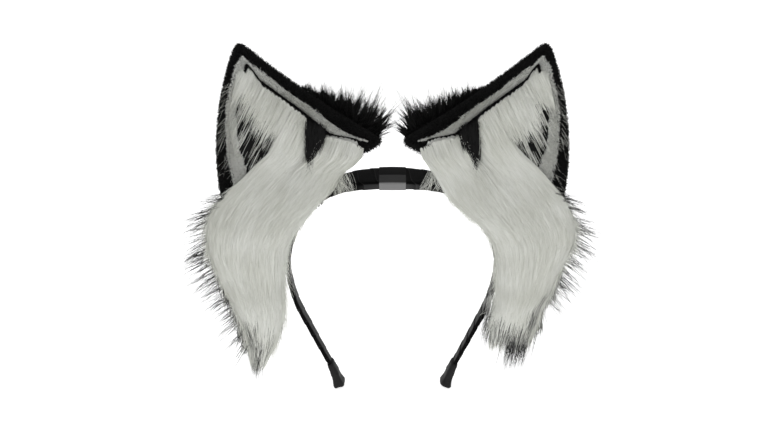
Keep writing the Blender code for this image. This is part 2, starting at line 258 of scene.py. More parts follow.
def fur_flow(side, x, z):
    """Direction (dx, dz) in which the fur is combed."""
    step = 2.0
    inner, outer = fur_edges(side, z)
    inner_next, outer_next = fur_edges(side, z - step)
    q = np.clip((x - inner) / np.maximum(outer - inner, 2), -0.1, 1.1)
    slope = (inner_next - inner + q * ((outer_next - outer) - (inner_next - inner))) / step
    slope = np.clip(slope, -1.2, 1.3)
    on_ear = smooth(14, 38, z)
    slope = slope * (1 - on_ear) + EAR_FUR_SLOPE * on_ear
    return unit(np.stack((slope, -np.ones_like(slope)), axis=-1))


def ear_flow(side, x, z):
    return unit(np.stack((np.full_like(x, EAR_FUR_SLOPE), -np.ones_like(x)), axis=-1))


# ---------------------------------------------------------------- strands


def link_mesh(name, vertices, faces, uv=None):
    """A mesh object from arrays of millimetre points and faces of one size."""
    mesh = bpy.data.meshes.new(name)
    count, size = faces.shape
    mesh.vertices.add(len(vertices))
    mesh.vertices.foreach_set("co", (vertices * MM).astype(np.float32).ravel())
    mesh.loops.add(count * size)
    mesh.loops.foreach_set("vertex_index", faces.astype(np.int32).ravel())
    mesh.polygons.add(count)
    mesh.polygons.foreach_set("loop_start", np.arange(0, count * size, size, dtype=np.int32))
    if uv is not None:
        layer = mesh.uv_layers.new(name="UVMap")
        layer.data.foreach_set("uv", uv[faces.ravel()].astype(np.float32).ravel())
    mesh.update(calc_edges=True)
    mesh.validate()
    mesh.shade_smooth()
    obj = bpy.data.objects.new(name, mesh)
    bpy.context.scene.collection.objects.link(obj)
    return obj


def strand_arrays(paths, facing, widths, tone, tip=0.12):
    """Vertices, quads and UVs of tapered ribbons. U is each strand's tone and V runs from root to tip.

    paths is (strands, points, 3). A ribbon faces along facing, and tip is its end's share of its width.
    """
    strands, points, _ = paths.shape
    t = np.linspace(0, 1, points)
    taper = 1 - (1 - tip) * t**1.8
    direction = unit(np.gradient(paths, axis=1))
    across = unit(np.cross(direction, facing))
    half = (widths[:, None] * taper[None] / 2)[..., None]
    vertices = np.stack((paths - across * half, paths + across * half), axis=2).reshape(-1, 3)
    index = np.arange(strands * points * 2).reshape(strands, points, 2)
    quad = (index[:, :-1, 0], index[:, :-1, 1], index[:, 1:, 1], index[:, 1:, 0])
    uv = np.empty((strands, points, 2, 2))
    uv[..., 0] = tone[:, None, None]
    uv[..., 1] = t[None, :, None]
    return vertices, np.stack(quad, axis=-1).reshape(-1, 4), uv.reshape(-1, 2)


def join_arrays(parts):
    vertices, faces, uvs, start = [], [], [], 0
    for v, f, uv in parts:
        vertices.append(v)
        faces.append(f + start)
        uvs.append(uv)
        start += len(v)
    return np.vstack(vertices), np.vstack(faces), np.vstack(uvs)


def side_mesh(name, side, vertices, faces, uv):
    """A piece on its side, from right-hand arrays."""
    if side == "left":
        vertices, faces = vertices * np.array((-1.0, 1, 1)), faces[:, ::-1]
    return link_mesh(f"{name}_{side}", vertices, faces, uv)


def facing_about(rng, way, spread, count, points):
    """The way each strand faces: about one way, turned at random."""
    return np.repeat(unit(way + rng.normal(0, spread, (count, 3)))[:, None], points, axis=1)


def clumps(rng, roots, size):
    """For each root, the nearest of some scattered clump centres, about size apart."""
    low, high = roots.min(0), roots.max(0)
    count = max(4, int(np.prod(np.maximum(high - low, 1)[:2]) / size**2))
    centres = roots[rng.integers(0, len(roots), count)]
    nearest = np.empty(len(roots), int)
    for start in range(0, len(roots), 2000):
        part = roots[start : start + 2000]
        nearest[start : start + 2000] = ((part[:, None] - centres[None]) ** 2).sum(2).argmin(1)
    return centres, nearest


def combed(
    side, rng, roots, lengths, lift, spread, clump, clump_size, points=7, until=None, fly=0.0,
    flow_of=fur_flow,
):
    """Strand paths that follow the fur's flow from (x, z) roots, and the way each point faces.

    lift is (root, tip) height over the skin. until(x, z) is where a strand has to stop.
    """
    count = len(roots)
    fine = 4 * (points - 1) + 1
    step = lengths / (fine - 1)
    turn = rng.normal(0, spread, count) + fly * rng.standard_t(3, count) * 0.06
    centres, nearest = clumps(rng, roots, clump_size)
    position = roots.copy()
    centre = centres[nearest].copy()
    track, centre_track = [position.copy()], [centre.copy()]
    alive = np.ones(count, bool)
    for k in range(fine - 1):
        flow = flow_of(side, position[:, 0], position[:, 1])
        c, s = np.cos(turn * (k / fine)), np.sin(turn * (k / fine))
        flow = np.stack((flow[:, 0] * c - flow[:, 1] * s, flow[:, 0] * s + flow[:, 1] * c), axis=1)
        moved = position + flow * step[:, None]
        if until is not None:
            alive &= ~until(moved)
        position = np.where(alive[:, None], moved, position + flow * 0.02)
        centre = centre + flow_of(side, centre[:, 0], centre[:, 1]) * step[:, None]
        track.append(position.copy())
        centre_track.append(centre.copy())
    track, centre_track = np.stack(track[::4], axis=1), np.stack(centre_track[::4], axis=1)
    t = np.linspace(0, 1, points)[None, :, None]
    pull = clump * t**1.5 * rng.uniform(0.4, 1.0, count)[:, None, None]
    if until is not None:
        pull = pull * alive[:, None, None]
    flat = track + (centre_track - track) * pull
    height = lift[0] + (lift[1] - lift[0]) * np.sin(t[..., 0] * math.pi * 0.62) / math.sin(math.pi * 0.62)
    height = height * rng.uniform(0.55, 1.15, count)[:, None]
    paths = fur_place(side, flat[..., 0], flat[..., 1], height)
    # A strand faces the way its skin does, turned a little about its own length.
    eps = 1.0
    right = fur_place(side, flat[..., 0] + eps, flat[..., 1], height) - paths
    up = fur_place(side, flat[..., 0], flat[..., 1] + eps, height) - paths
    facing = unit(np.cross(unit(right), unit(up)))
    return paths, unit(facing + rng.normal(0, 0.2, (count, 1, 3)))


# ---------------------------------------------------------------- materials


class Material:
    """A Principled material and short ways to add nodes to it."""

    def __init__(self, name, roughness, specular=0.5, sheen=0.0, sheen_roughness=0.5, coat=0.0):
        self.material = bpy.data.materials.new(name)
        self.material.use_nodes = True
        self.tree = self.material.node_tree
        self.shader = self.tree.nodes["Principled BSDF"]
        self.set("Roughness", roughness)
        self.set("Specular IOR Level", specular)
        self.set("Sheen Weight", sheen)
        self.set("Sheen Roughness", sheen_roughness)
        self.set("Coat Weight", coat)

    def set(self, socket, value):
        self.shader.inputs[socket].default_value = value

    def node(self, kind, **inputs):
        made = self.tree.nodes.new(kind)
        for name, value in inputs.items():
            self.feed(made.inputs[name.replace("_", " ")], value)
        return made

    def feed(self, socket, value):
        if isinstance(value, bpy.types.NodeSocket):
            self.tree.links.new(value, socket)
        else:
            socket.default_value = value

    def link(self, output, socket):
        self.tree.links.new(output, self.shader.inputs[socket])

    def ramp(self, factor, *stops):
        made = self.tree.nodes.new("ShaderNodeValToRGB")
        self.feed(made.inputs[0], factor)
        elements = made.color_ramp.elements
        while len(elements) < len(stops):
            elements.new(0.5)
        for element, (place, colour) in zip(elements, stops):
            element.position = place
            element.color = colour
        return made.outputs[0]

    def mix(self, kind, factor, a, b):
        made = self.tree.nodes.new("ShaderNodeMix")
        made.data_type = "RGBA"
        made.blend_type = kind
        self.feed(made.inputs[0], factor)
        self.feed(made.inputs[6], a)
        self.feed(made.inputs[7], b)
        return made.outputs[2]

    def coordinates(self, scale=(1, 1, 1), kind="Object"):
        made = self.tree.nodes.new("ShaderNodeTexCoord")
        mapping = self.node("ShaderNodeMapping", Scale=scale)
        self.tree.links.new(made.outputs[kind], mapping.inputs[0])
        return mapping.outputs[0]

    def noise(self, vector, scale, detail=3.0, roughness=0.5):
        made = self.node("ShaderNodeTexNoise", Vector=vector, Scale=scale, Detail=detail, Roughness=roughness)
        return made.outputs[0]

    def uv(self):
        made = self.tree.nodes.new("ShaderNodeUVMap")
        made.uv_map = "UVMap"
        split = self.tree.nodes.new("ShaderNodeSeparateXYZ")
        self.tree.links.new(made.outputs[0], split.inputs[0])
        return split.outputs[0], split.outputs[1]

    def bump(self, height, strength, distance):
        made = self.node("ShaderNodeBump", Height=height, Strength=strength, Distance=distance)
        self.link(made.outputs[0], "Normal")


def fur_material(name, root, tip, dark, roughness, specular, sheen, tip_at=0.5):
    """Pile: root to tip along V, a tone for each strand along U, and soft patches over the whole piece."""
    made = Material(name, roughness, specular, sheen)
    tone, length = made.uv()
    colour = made.ramp(length, (0.0, root), (tip_at, tip), (1.0, tip))
    shade = made.ramp(tone, (0.0, dark), (0.55, (1, 1, 1, 1)), (1.0, (1, 1, 1, 1)))
    colour = made.mix("MULTIPLY", 1.0, colour, shade)
    soft = made.noise(made.coordinates(), 38.0)
    patches = made.ramp(soft, (0.35, (0.9, 0.9, 0.88, 1)), (0.65, (1, 1, 1, 1)))
    made.link(made.mix("MULTIPLY", 1.0, colour, patches), "Base Color")
    return made.material


def grey(value, warm=0.0):
    return (value * (1 + warm * 0.6), value * (1 + warm), value * (1 - warm), 1.0)


def fur_materials(**looks):
    return {name: fur_material(name, *look) for name, look in looks.items()}


MATERIALS = fur_materials(
    white_fur=(grey(0.58, 0.03), grey(0.72, 0.03), grey(0.84, 0.02), 0.6, 0.3, 0.1),
    pale_pile=(grey(0.62, 0.02), grey(0.76, 0.02), grey(0.8), 0.8, 0.2, 0.1),
    black_fur=(grey(0.004), grey(0.01), grey(0.5), 0.5, 0.1, 0.0),
    black_pile=(grey(0.004), grey(0.012), grey(0.4), 0.85, 0.06, 0.0),
    dark_tips=(grey(0.55, 0.02), grey(0.012), grey(0.6), 0.5, 0.25, 0.0, 0.55),
)


def finish(obj, material, slot, body, replaced=()):
    """Gives a piece its material and its body. A piece that spans two bodies only has its transform baked in.
    """
    obj.data.materials.append(MATERIALS[material])
    if isinstance(body, str):
        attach(obj, body)
    else:
        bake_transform(obj)
    if replaced:
        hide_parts(*replaced)


LOCK_SEAM_X, LOCK_SEAM_Y = 0.09, -0.015  # metres


def hanging(side):
    """The crown and the lock, and a point on each, for a piece that spans the two."""
    x, y = SIGN[side] * LOCK_SEAM_X, LOCK_SEAM_Y
    return "crown", f"lock_{side}", (x, y, -0.004), (x, y, -0.036)


def add_strands(name, side, rng, paths, facing, widths, look, body, replaced=(), tip=0.12):
    """One piece of fur. look is its material and a slot name, which is not used."""
    parts = strand_arrays(paths, facing, widths, rng.uniform(0, 1, len(paths)), tip)
    obj = side_mesh(name, side, *parts)
    finish(obj, *look, body, replaced)


WHITE = ("white_fur", "white_fur")
BLACK = ("black_fur", "black_fur")


# ---------------------------------------------------------------- ear pieces


def grid_faces(rows, columns, close=True):
    """Quads over a grid of rows by columns, with each row closed to a loop if asked."""
    index = np.arange(rows * columns).reshape(rows, columns)
    after = np.roll(index, -1, axis=1)
    quad = np.stack((index[:-1], after[:-1], after[1:], index[1:]), axis=-1)
    return (quad if close else quad[:, :-1]).reshape(-1, 4)


def ear_skin(turn, inset, back=False):
    """Place and outward direction of the plush ear's surface."""

    def place(at, depth):
        return ear_place(on_outline(at, depth), back_out(depth) if back else front_out(depth))

    here = place(turn, inset)
    round_it = place(turn + 0.01, inset) - here
    into_it = place(turn, inset + 0.05) - here
    normal = unit(np.cross(unit(into_it), unit(round_it)))
    towards = np.array((0, math.cos(EAR_LEAN) * (1 if back else -1), 0))
    flip = np.sign((normal * towards).sum(-1, keepdims=True))
    return here, normal * np.where(flip == 0, 1, flip)


def make_ear_body(side):
    """The stuffed plush ear under the pile: a plump edge all round, dished in front and domed behind."""
    turn = np.linspace(0, 3, 240, endpoint=False)
    insets = [0.05, 0.3, 0.9, 1.8, 3.0, 4.5, 6.0, 8.0, 10.5, 14.0, 19.0, 25.0]
    rows = [ear_place(on_outline(turn, np.full_like(turn, d)), back_out(d)) for d in reversed(insets)]
    rows += [ear_place(on_outline(turn, np.full_like(turn, d)), front_out(d)) for d in insets]
    centre = [ear_place(EAR_CENTRE[None], back_out(33.0)), ear_place(EAR_CENTRE[None], front_out(33.0))]
    rows = [np.repeat(centre[0], len(turn), axis=0), *rows, np.repeat(centre[1], len(turn), axis=0)]
    vertices = np.vstack(rows)
    vertices = vertices + wobble(vertices, 9.0, 3)[:, None] * 0.18
    faces = grid_faces(len(rows), len(turn))
    uv = np.full((len(vertices), 2), 0.35)
    obj = side_mesh("ear_plush_body", side, vertices, faces, uv)
    nodes = [f"ear_{part}_{side}" for part in ("back_fur", "edge_binding", "foam_core", "inner_fur")]
    finish(obj, "black_pile", "black_fur", f"ear_{side}", nodes)


def pile(turn, inset, back, rng, length, width, lean):
    """Short strands that stand on the ear's surface and lean outward along it."""
    root, normal = ear_skin(turn, inset, back)
    outward, _ = ear_skin(turn, np.maximum(inset - 0.4, 0), back)
    lean_to = unit(outward - root + rng.normal(0, 0.15, root.shape))
    direction = unit(normal + lean_to * lean + rng.normal(0, 0.28, root.shape))
    reach = (length * rng.uniform(0.6, 1.25, len(root)))[:, None]
    mid = root + direction * reach * 0.55
    tip = root + unit(direction + lean_to * 0.35) * reach
    paths = np.stack((root - normal * 0.2, mid, tip), axis=1)
    facing = facing_about(rng, normal * 0.2, 1, len(root), 3)
    return strand_arrays(paths, facing, np.full(len(root), width), rng.uniform(0, 1, len(root)), 0.25)


def make_edging(side, rng):
    """Short black pile round the ear's edge."""
    parts = []
    turn = rng.uniform(0, 3, 15000)
    border = along(EDGING, turn)
    inset = border * (rng.uniform(0, 1, len(turn)) ** 0.8 + rng.normal(0, 0.035, len(turn)))
    parts.append(pile(turn, np.maximum(inset, 0), False, rng, 1.5, 0.42, 0.7))
    turn = rng.uniform(0, 3, 6000)
    parts.append(pile(turn, 5 * rng.uniform(0, 1, len(turn)), True, rng, 1.7, 0.42, 0.7))
    obj = side_mesh("ear_edging_pile", side, *join_arrays(parts))
    finish(obj, "black_pile", "black_fur", f"ear_{side}")


def band_strip(start, end, border_in, border_out, rise, samples):
    """A thin plush strip on the ear's front between two borders, rounded across."""
    turn = np.linspace(start, end, samples)
    rows = []
    for part in (0.0, 0.12, 0.35, 0.65, 0.88, 1.0):
        inset = border_in(turn) * (1 - part) + border_out(turn) * part
        height = rise * math.sin(math.pi * part) ** 0.5 - 0.3
        rows.append(ear_place(on_outline(turn, inset), front_out(inset) + height))
    vertices = np.vstack(rows)
    return vertices, grid_faces(len(rows), samples, close=False), np.full((len(vertices), 2), 0.6)


def make_band(side, rng):
    """Short pale pile inside the edging, on the outer and inner sides and round the tip."""
    def inner_border(turn):
        return along(EDGING, turn) + 0.35 * wobble(np.stack((turn * 60, turn * 0), -1), 5.0, 11)

    def outer_border(turn):
        return along(BAND, turn) + 0.5 * wobble(np.stack((turn * 60, turn * 0), -1), 6.0, 12)

    parts = [band_strip(0.0, 2.0, inner_border, outer_border, 0.7, 320)]
    turn = rng.uniform(0.0, 2.0, 15000)
    part = rng.uniform(-0.06, 1.06, len(turn))
    inset = inner_border(turn) * (1 - part) + outer_border(turn) * part
    v, f, uv = pile(turn, inset, False, rng, 1.9, 0.34, 0.6)
    towards = np.array((0, -math.cos(EAR_LEAN), math.sin(EAR_LEAN)))
    parts.append((v + towards * 0.35, f, uv))
    obj = side_mesh("ear_pale_band", side, *join_arrays(parts))
    finish(obj, "pale_pile", "white_fur", f"ear_{side}", [f"ear_short_pile_band_{side}"])


def make_seam_and_shadow(side, rng):
    """Narrow dark line inside the band, along the inner side and round the tip in a short hook. Towards the
    inner corner it widens, and that extra width is painted shadow.
    """
    turn = rng.uniform(0.93, 2.0, 10000)
    # The line's width along the outline. From about turn 1.5 on, the widening towards the inner corner is
    # painted shadow.
    width = along([
        (0.94, 1.2), (1.0, 2.1), (1.06, 1.5), (1.14, 0.7), (1.4, 0.4), (1.55, 0.9), (1.8, 1.1),
        (2.0, 1.8),
    ], turn)
    inset = along(BAND, turn) + width * rng.uniform(-0.15, 1, len(turn)) + rng.normal(0, 0.25, len(turn))
    v, f, uv = pile(turn, inset, False, rng, 1.0, 0.3, 0.3)
    towards = np.array((0, -math.cos(EAR_LEAN), math.sin(EAR_LEAN)))
    parts = [(v + towards * 2.0, f, uv)]
    obj = side_mesh("ear_seam_and_shadow_pile", side, *join_arrays(parts))
    finish(obj, "black_pile", "black_fur", f"ear_{side}", [f"ear_dark_seam_{side}"])


def fur_window():
    """The ear's opening that the white fur fills, in its plane: inside the band, and past the base."""
    turn = np.linspace(0.02, 1.98, 200)
    over = along([
        (0, 0), (0.3, 1.5), (0.5, 4.5), (0.9, 3.5), (0.98, 0), (1.03, -1.5), (1.1, -0.7), (2, -1),
    ], turn)
    border = on_outline(turn, along(BAND, turn) - over)
    below = np.array([(-62.0, -14.0), (-20.0, -30.0), (40.0, -30.0), (62.0, -14.0)])
    return np.vstack((border, below))


WINDOW = fur_window()


# Spots near the ear's lower outer part where the white fur thins and the black plush shows through, partly as
# painted shade. Each is a centre (x, z), a size and a strength.
DARK_AND_SHADE_SPOTS = {
    "left": [
        ((91, 29), 15, 1.0), ((93, 18), 12, 1.0), ((84, 22), 10.5, 1.0), ((96, 39), 13, 0.98),
        ((92, 10), 8, 1.0), ((79, 27), 8.5, 0.96), ((100, 50), 10, 0.92),
    ],
    "right": [
        ((98, 34), 12, 1.0), ((96, 22), 12, 1.0), ((90, 27), 11, 0.98), ((100, 46), 11, 0.96),
        ((94, 12), 8, 1.0), ((81, 24), 8, 0.97), ((86, 18), 8, 0.97),
    ],
}


def dark_and_shade(side, points):
    """From 0 to 1, how much of the black plush shows between the strands near the ear's lower outer part.
    This dark is partly the plush's own black and partly painted shade.
    """
    total = np.zeros(len(points))
    for centre, size, strength in DARK_AND_SHADE_SPOTS[side]:
        away = ((points - np.array(centre)) ** 2).sum(1)
        total = np.maximum(total, strength * np.exp(-away / size**2))
    return total


WEDGE = np.array([
    (54.3, 43), (54.8, 33), (54.9, 25), (54.2, 17), (53, 8.5), (52.2, 14), (51.3, 19.5), (50.2, 25),
    (47.8, 29.5), (42.5, 33.5), (43, 39),
])


def make_lining(side):
    """Pale cloth at the roots of the long fur, missing where the black plush shows through, partly as painted
    shade.
    """
    across, up = np.meshgrid(np.arange(-64, 60, 1.5), np.arange(-8, 90, 1.5))
    flat = np.stack((across.ravel(), up.ravel()), axis=1)
    place = ear_place(flat, np.full(len(flat), 2.35))
    shown = np.stack((place[:, 0], place[:, 2]), axis=1)
    keep = inside(flat, WINDOW) & (dark_and_shade(side, shown) < 0.42) & ~inside(shown, WEDGE) & (shown[:, 1] > -2)
    keep &= (shown[:, 1] > 34) | (shown[:, 0] > fur_edges(side, shown[:, 1])[0] + 2)
    index = np.arange(len(flat)).reshape(across.shape)
    quads = np.stack((index[:-1, :-1], index[:-1, 1:], index[1:, 1:], index[1:, :-1]), axis=-1).reshape(-1, 4)
    quads = quads[keep[quads].all(axis=1)]
    used, faces = np.unique(quads, return_inverse=True)
    place = place[used] + wobble(flat[used], 5.0, 31)[:, None] * np.array((0, 0.25, 0))
    uv = np.full((len(place), 2), 0.8)
    obj = side_mesh("ear_lining", side, place, faces.reshape(-1, 4), uv)
    finish(obj, "pale_pile", "white_fur", f"ear_{side}")


def make_inner_fur(side, rng):
    """Long white fur inside the ear, combed down and outward, thinner near the band's outer part."""
    count = 24000
    roots = np.stack((rng.uniform(20, 112, count), rng.uniform(6, 92, count)), axis=1)
    roots = roots[inside(ear_flat(roots[:, 0], roots[:, 1]), WINDOW)]
    outer = fur_edges(side, np.clip(roots[:, 1], FUR_LOW, FUR_HIGH))[1]
    roots = roots[(roots[:, 1] > 33) | (roots[:, 0] > outer - 14)]
    # Fewer and narrower strands over these spots, so the black plush shows through there, partly as painted
    # shade.
    limit = 1.03 * rng.uniform(0, 1, len(roots)) ** 3.0
    keep = (dark_and_shade(side, roots) < limit) & ~inside(roots, WEDGE)
    roots, limit = roots[keep], limit[keep]
    lengths = rng.uniform(12, 26, len(roots))

    def stop(points):
        flat = ear_flat(points[:, 0], points[:, 1])
        return ((points[:, 1] > 2) & ~inside(flat, WINDOW)) | (dark_and_shade(side, points) > limit)

    paths, facing = combed(
        side, rng, roots, lengths, (0.3, 2.0), 0.045, 0.5, 2.2, until=stop, fly=0.25, flow_of=ear_flow
    )
    widths = rng.uniform(0.2, 0.34, len(roots)) * (1 - 0.45 * smooth(0.15, 0.6, dark_and_shade(side, roots)))
    add_strands("ear_long_fur", side, rng, paths, facing, widths, WHITE, f"ear_{side}")


def make_mantle_top(side, rng):
    """White fur from the ear's inner part that sweeps down and outward over its base."""
    count = 15000
    roots = lock_roots(side, rng, count, 44, 0)
    roots = roots[inside(ear_flat(roots[:, 0], roots[:, 1]), WINDOW) | (roots[:, 1] < 16)]
    roots = roots[~inside(roots, WEDGE + np.array((0, 1.0)))]
    lengths = rng.uniform(18, 36, len(roots))

    loose = 2.2 * rng.standard_t(2.5, (len(roots), 2))

    def stop(points):
        return inside(points + loose, WEDGE)

    paths, facing = combed(side, rng, roots, lengths, (0.4, 3.0), 0.05, 0.5, 3.4, 8, until=stop, fly=0.5)
    widths = rng.uniform(0.22, 0.38, len(roots))
    x = SIGN[side] * 0.054  # metres: where the ear's base crosses the hoop
    over_base = "crown", f"ear_{side}", (x, 0, -0.014), (x, 0, 0.012)
    add_strands("ear_mantle_fur", side, rng, paths, facing, widths, WHITE, over_base)


def make_wedge(side, rng):
    """Dark wedge of fur that hangs from the seam near the ear's inner corner."""
    count = 4200
    roots = np.stack((rng.uniform(37, 56.5, count), rng.uniform(14, 47, count)), axis=1)
    roots = roots[inside(roots + rng.normal(0, 0.7, roots.shape), WEDGE)]
    count = len(roots)
    lengths = rng.uniform(4, 12, count) * (0.5 + 0.5 * smooth(12, 32, roots[:, 1]))
    points = 5
    t = np.linspace(0, 1, points)[None, :, None]
    aim = np.array((53.2, 3.0)) + rng.normal(0, 2.4, (count, 2)) - roots
    flat = roots[:, None] + (unit(aim) * lengths[:, None])[:, None] * t
    height = (1.2 + 2.2 * np.sin(t[..., 0] * 2.2)) * rng.uniform(0.4, 1.1, (count, 1))
    paths = fur_place(side, flat[..., 0], flat[..., 1], height)
    facing = unit(np.array((0, -1, 0.2)) + rng.normal(0, 0.35, (count, 1, 3)) + np.zeros((1, points, 1)))
    widths = rng.uniform(0.22, 0.36, count)
    add_strands("ear_dark_wedge", side, rng, paths, facing, widths, BLACK, f"ear_{side}", tip=0.05)


def curved(roots, directions, lengths, bend, points, kink=0.0, rng=None):
    """Paths that start along a direction and bend towards another, with a kink near their tips."""
    t = np.linspace(0, 1, points)[None, :, None]
    path = roots[:, None] + (directions[:, None] * t + bend[:, None] * t**2) * lengths[:, None, None]
    if kink:
        sway = unit(np.cross(directions, rng.normal(size=directions.shape)))[:, None]
        turns = rng.uniform(1.2, 2.6, len(roots))[:, None, None]
        path = path + sway * np.sin(t * turns * 2 * math.pi) * t * kink
    return path


def make_tuft(side, rng):
    """Long loose black fur behind the inner edge, near the middle of the head, in curling points."""
    count, points = 10500, 8
    turn = 1.45 + 0.53 * rng.uniform(0, 1, count) ** 0.75
    root, _ = ear_skin(turn, rng.uniform(0.2, 7, count), True)
    root = root + np.array((0, 1.0, 0)) * rng.uniform(0, 5, count)[:, None]
    centres = root[rng.integers(0, count, 300)]
    nearest = ((root[:, None] - centres[None]) ** 2).sum(2).argmin(1)
    share = np.interp(centres[:, 0], (4, 58), (1, 0))
    tall = np.interp(share, (0, 0.12, 0.4, 0.75, 1.0), (3, 6.5, 14, 23, 20))
    tall = tall * (1.0 if side == "left" else 0.86)
    tall = tall * rng.uniform(0.6, 1.15, len(centres))
    fan = np.interp(share, (0, 0.5, 0.8, 1.0), (-2, 8, 28, 66))
    fan = fan + rng.normal(0, 1, len(centres)) * (11 + 16 * share**2)
    fan = np.radians(np.clip(fan, -30, 84 if side == "left" else 56))
    room = (centres[:, 0] + (4 if side == "left" else -2.5)) / np.maximum(np.sin(fan), 0.05)
    tall = np.minimum(tall, np.maximum(room, 4))
    way = unit(np.stack((-np.sin(fan), rng.normal(0.12, 0.22, len(centres)), np.cos(fan)), axis=1))
    curl = unit(rng.normal(size=way.shape) * np.array((1, 0.5, 1)))
    t = np.linspace(0, 1, points)
    spine = centres[:, None] + way[:, None] * (tall[:, None] * t)[..., None]
    spine = spine + curl[:, None] * (np.interp(share, (0.3, 1), (0.5, 3.2))[:, None] * t**2.2)[..., None]
    loose = rng.uniform(0, 1, count) < 0.22
    length = rng.uniform(0.4, 0.95, count) * np.where(loose, rng.uniform(1.1, 2.1, count), 1.0)
    paths = np.empty((count, points, 3))
    pull = np.where(loose, 0.25, rng.uniform(0.7, 0.97, count))
    for k in range(points):
        at = t[k] * length * (points - 1)
        low = np.minimum(at.astype(int), points - 2)
        part = (at - low)[:, None]
        on_spine = spine[nearest, low] * (1 - part) + spine[nearest, low + 1] * part
        aside = (root - centres[nearest]) * (1 - pull * (t[k] * length) ** 1.1)[:, None]
        paths[:, k] = on_spine + aside
    stray = rng.normal(0, 1, (count, 1, 3)) * (t**2)[None, :, None] * np.where(loose, 2.0, 0.3)[:, None, None]
    paths = paths + stray
    # Some curl out of the ear's corner, towards the other ear.
    curly = (turn > 1.9) & (rng.uniform(0, 1, count) < (0.12 if side == "left" else 0.05))
    turning = rng.normal(1.85, 0.4, count)[:, None] + t * rng.normal(0, 2.8, count)[:, None]
    reach = rng.uniform(6, 12, count)[:, None] * t
    forward = rng.normal(-0.2, 0.2, count)[:, None] * reach
    curls = np.stack((-np.sin(turning) * reach, forward, np.cos(turning) * reach), axis=-1)
    paths = np.where(curly[:, None, None], root[:, None] + curls, paths)
    facing = facing_about(rng, np.array((0, -0.5, 0)), 1, count, points)
    widths = np.where(loose | curly, 0.2, rng.uniform(0.24, 0.36, count))
    replaced = [f"ear_back_tuft_{side}"]
    add_strands("ear_tuft", side, rng, paths, facing, widths, BLACK, f"ear_{side}", replaced)


def make_stray_hairs(side, rng):
    """Thin pale hairs that lie loose across the black edging and past it."""
    count = 70
    turn = rng.uniform(0.02, 0.8, count)
    root, normal = ear_skin(turn, along(EDGING, turn) + rng.uniform(-3, 3, count), False)
    below = np.radians(rng.normal(52, 16, count))
    direction = np.stack((np.cos(below), rng.normal(-0.1, 0.12, count), -np.sin(below)), axis=1)
    bend = np.stack((rng.normal(0.05, 0.1, count), np.zeros(count), rng.normal(-0.1, 0.1, count)), axis=1)
    paths = curved(root + normal * 1.6, unit(direction), rng.uniform(7, 15, count), bend, 6)
    facing = facing_about(rng, np.array((0, -1.0, 0.3)), 0.3, count, 6)
    widths = rng.uniform(0.07, 0.12, count)
    add_strands("ear_stray_hairs", side, rng, paths, facing, widths, WHITE, f"ear_{side}", tip=0.3)


def make_back_fur(side, rng):
    """Black pile on the back of the ear, combed towards its base."""
    count = 15000
    turn = rng.uniform(0, 3, count)
    share = np.sqrt(rng.uniform(0.0, 1, count))
    reach = np.interp(turn % 3 * STEPS, np.arange(len(REACH)), REACH)
    inset = np.maximum(reach * (1 - share), 1.5)
    root, normal = ear_skin(turn, inset, True)
    down = np.array((-0.25, 0.0, -1.0))
    lengths = rng.uniform(6, 10, count) * (0.45 + 0.55 * smooth(0, 9, inset))
    direction = unit(normal * 0.55 + down * 0.75 + rng.normal(0, 0.16, root.shape))
    bend = unit(down + normal * 0.05) * 0.3
    paths = curved(root, direction, lengths, bend, 4)
    facing = facing_about(rng, normal, 0.35, count, 4)
    widths = rng.uniform(0.4, 0.65, count)
    add_strands("ear_back_pile", side, rng, paths, facing, widths, BLACK, f"ear_{side}", tip=0.1)


# ---------------------------------------------------------------- hanging fur


def rear_depth(z):
    return 6.2 * smooth(-6, -21, z) * (1 - 0.6 * smooth(-60, -126, z))


def make_lock_bodies(side):
    """Dense cores of the hanging fur, white in front and black behind, that loose strands cover."""
    q = np.sin(np.linspace(-math.pi / 2, math.pi / 2, 26))
    for name, front in (("front", True), ("rear", False)):
        rows = []
        lowest = CORE_END[side]
        heights = np.linspace(8 if front else -9, lowest, 56)
        for z in heights:
            inner, outer = fur_edges(side, z)
            inset = 2.5 + 5 * smooth(lowest + 45, lowest, z)
            x = (inner + outer) / 2 + q * max((outer - inner) / 2 - inset, 0.6)
            level = np.full_like(x, z)
            if front:
                bulge = fur_place(side, x, level, -0.9)[:, 1]
                flat = np.maximum(bulge + 1.2, -15.5 + 0 * bulge)
            else:
                depth = rear_depth(z)
                flat = np.full_like(x, -14.8)
                bulge = flat + 0.6 + depth * np.sqrt(np.maximum(1 - q * q, 0))
            skin = np.stack((x, bulge, level), axis=1)
            back = np.stack((x, flat, level), axis=1)[::-1]
            rows.append(np.vstack((skin, back)))
        vertices = np.vstack(rows)
        uneven = wobble(vertices * np.array((1, 1, 0.15)), 5.0, 21)
        vertices = vertices + uneven[:, None] * np.array((0.2, 0.3, 0))
        faces = grid_faces(len(rows), len(rows[0]))
        uv = np.full((len(vertices), 2), 0.3)
        obj = side_mesh(f"lock_{name}_core", side, vertices, faces, uv)
        finish(obj, *(WHITE if front else BLACK), hanging(side), [f"lock_{name}_fur_{side}"])


# Levels at which each layer of the locks ends: the cores themselves, and the lowest roots of the fur.
CORE_END = {"left": -98, "right": -78}
WHITE_END = {"left": -106, "right": -90}
LOOSE_END = {"left": -112, "right": -92}
REAR_END = {"left": -106, "right": -94}
GUARD_END = {"left": -112, "right": -78}

BACKING_Y = -15.15
BACKING_TOP = -24.0
BACKING_END = {"left": -104.0, "right": -84.0}
BACKING_WIDTH = 42.0
BACKING_MARGIN = 6.0


